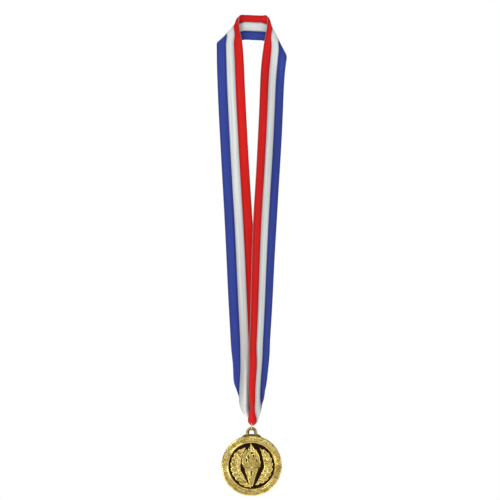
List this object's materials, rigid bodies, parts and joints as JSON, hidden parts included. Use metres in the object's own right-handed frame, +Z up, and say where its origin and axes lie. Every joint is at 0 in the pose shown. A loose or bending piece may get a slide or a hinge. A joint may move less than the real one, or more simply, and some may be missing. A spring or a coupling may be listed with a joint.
{
  "type": "neck-ribbon medal",
  "caption": "Round cast prize medal with a torch and laurel relief, hung by an eye and jump ring from the gathered end of a striped neck ribbon loop.",
  "frame": {"origin": "middle of the neck band's back face, where a neck or a peg carries the medal", "axes": "+Z up, along the hanging ribbon; the medal's front faces -Y; +X to the right as seen from the front"},
  "size_m": [0.0628, 0.0188, 0.4054],
  "materials": {
    "ribbon": "woven grosgrain ribbon in three equal lengthwise stripes, red, white and blue",
    "thread": "white polyester sewing thread",
    "ring_wire": "gold-plated round wire",
    "cast_gold": "antique gold plate over a zinc die casting, polished on the high places",
    "dark_fill": "dark enamel wash in the sunk field"
  },
  "bodies": {
    "neck_band": {"ribbon_neck_band": "ribbon", "ribbon_fold_left": "ribbon", "ribbon_fold_right": "ribbon", "ribbon_left_top": "ribbon", "ribbon_right_top": "ribbon"},
    "upper_legs": {"ribbon_left_upper": "ribbon", "ribbon_right_upper": "ribbon"},
    "lower_legs": {"ribbon_left_lower": "ribbon", "ribbon_right_lower": "ribbon", "ribbon_gather_left": "ribbon", "ribbon_gather_right": "ribbon", "ribbon_bight": "ribbon", "ribbon_tails": "ribbon", "end_stitches": "thread"},
    "ring": {"jump_ring": "ring_wire"},
    "medal": {"hanger_eye": "cast_gold", "medal_disc": "cast_gold", "torch_handle": "cast_gold", "torch_bowl": "cast_gold", "torch_flame": "cast_gold", "laurel_left": "cast_gold", "laurel_right": "cast_gold", "field_enamel": "dark_fill"}
  },
  "joints": [
    {"name": "ribbon_sway", "type": "hinge", "parent": "neck_band", "child": "upper_legs", "pos_m": [0, -0.003, -0.045], "axis": [1, 0, 0], "range_deg": [-45, 45]},
    {"name": "ribbon_bend", "type": "hinge", "parent": "upper_legs", "child": "lower_legs", "pos_m": [0, -0.003, -0.19], "axis": [1, 0, 0], "range_deg": [-60, 60]},
    {"name": "ring_swing", "type": "hinge", "parent": "lower_legs", "child": "ring", "pos_m": [0, -0.003, -0.331], "axis": [1, 0, 0], "range_deg": [-60, 60]},
    {"name": "medal_swing", "type": "hinge", "parent": "ring", "child": "medal", "pos_m": [0, -0.003, -0.3383], "axis": [0, 1, 0], "range_deg": [-50, 50]}
  ]
}
